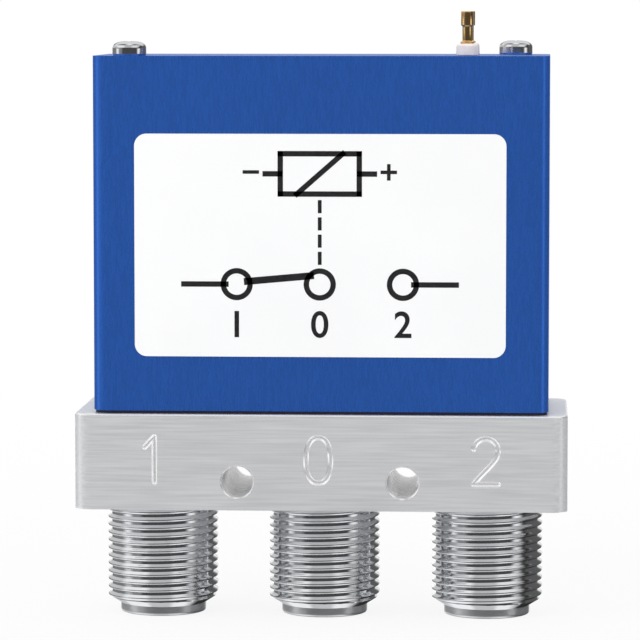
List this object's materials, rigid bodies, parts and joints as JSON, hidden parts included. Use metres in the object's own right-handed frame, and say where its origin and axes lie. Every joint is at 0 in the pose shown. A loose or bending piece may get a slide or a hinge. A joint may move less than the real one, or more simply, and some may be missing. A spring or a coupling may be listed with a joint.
{
  "type": "coaxial antenna switch",
  "caption": "Coaxial antenna switch: a blue relay cover on an aluminium base block with threaded jacks pointing down, numbered ports and solder terminals on top.",
  "frame": {"origin": "on the plane of the jack mouths, under the middle of the base block", "axes": "+X along the row of jacks from port 1 to port 2, +Y from the labelled front to the back, +Z from the jacks up to the terminals"},
  "size_m": [0.0692, 0.025, 0.0858],
  "materials": {
    "base_aluminium": "brushed",
    "cover_blue": "satin, fine brushed grain",
    "label_white": "matte film",
    "jack_nickel": "bright nickel plate",
    "contact_gold": "gold plate",
    "bead_ptfe": "smooth",
    "screw_nickel": "bright nickel plate",
    "terminal_gold": "gold plate",
    "insulator_ivory": "smooth",
    "rod_plastic": "smooth",
    "spring_steel": "drawn wire",
    "soft_iron": "ground",
    "plate_aluminium": "milled",
    "bobbin_nylon": "moulded",
    "winding_copper": "enamelled wire",
    "magnet_dark": "sintered",
    "gasket_black": "matte",
    "lead_red": "matte sleeve"
  },
  "bodies": {
    "housing": {"back_lead": "lead_red", "back_terminal": "terminal_gold", "back_terminal_insulator": "insulator_ivory", "bias_magnet": "magnet_dark", "bracket_screws": "screw_nickel", "cavity_cover": "plate_aluminium", "cavity_cover_screws": "screw_nickel", "coil_link": "lead_red", "core_screws": "screw_nickel", "cover": "cover_blue", "cover_gasket": "gasket_black", "front_lead": "lead_red", "front_terminal": "terminal_gold", "front_terminal_insulator": "insulator_ivory", "jack_0_bead": "bead_ptfe", "jack_0_contact": "contact_gold", "jack_0_shell": "jack_nickel", "jack_0_upper_bead": "bead_ptfe", "jack_1_bead": "bead_ptfe", "jack_1_contact": "contact_gold", "jack_1_shell": "jack_nickel", "jack_1_upper_bead": "bead_ptfe", "jack_2_bead": "bead_ptfe", "jack_2_contact": "contact_gold", "jack_2_shell": "jack_nickel", "jack_2_upper_bead": "bead_ptfe", "label": "label_white", "left_bobbin": "bobbin_nylon", "left_core": "soft_iron", "left_cover_post": "spring_steel", "left_cover_screw": "screw_nickel", "left_return_spring": "spring_steel", "left_winding": "winding_copper", "middle_pole": "soft_iron", "pivot_clips": "spring_steel", "pivot_pin": "spring_steel", "relay_bracket": "soft_iron", "rf_body": "base_aluminium", "right_bobbin": "bobbin_nylon", "right_core": "soft_iron", "right_cover_post": "spring_steel", "right_cover_screw": "screw_nickel", "right_return_spring": "spring_steel", "right_winding": "winding_copper", "yoke_plate": "soft_iron"},
    "rocker": {"armature": "soft_iron"},
    "left_contact_slide": {"left_reed": "contact_gold", "left_push_rod": "rod_plastic"},
    "right_contact_slide": {"right_reed": "contact_gold", "right_push_rod": "rod_plastic"}
  },
  "joints": [
    {"name": "rocker_pivot", "type": "hinge", "parent": "housing", "child": "rocker", "pos_m": [0, 0, 0.037], "axis": [0, 1, 0], "range_deg": [0, 5.5], "stiffness_Nm_per_rad": 0.05, "springref_deg": -6.88},
    {"name": "left_contact_lift", "type": "slide", "parent": "housing", "child": "left_contact_slide", "axis": [0, 0, 1], "range_m": [0, 0.0012], "deforming": ["left_return_spring"]},
    {"name": "right_contact_lift", "type": "slide", "parent": "housing", "child": "right_contact_slide", "axis": [0, 0, 1], "range_m": [-0.0012, 0], "deforming": ["right_return_spring"]}
  ],
  "couplings": [
    {"joint": "left_contact_lift", "follows": "rocker_pivot", "m_per_rad": 0.0125},
    {"joint": "right_contact_lift", "follows": "rocker_pivot", "m_per_rad": -0.0125}
  ]
}
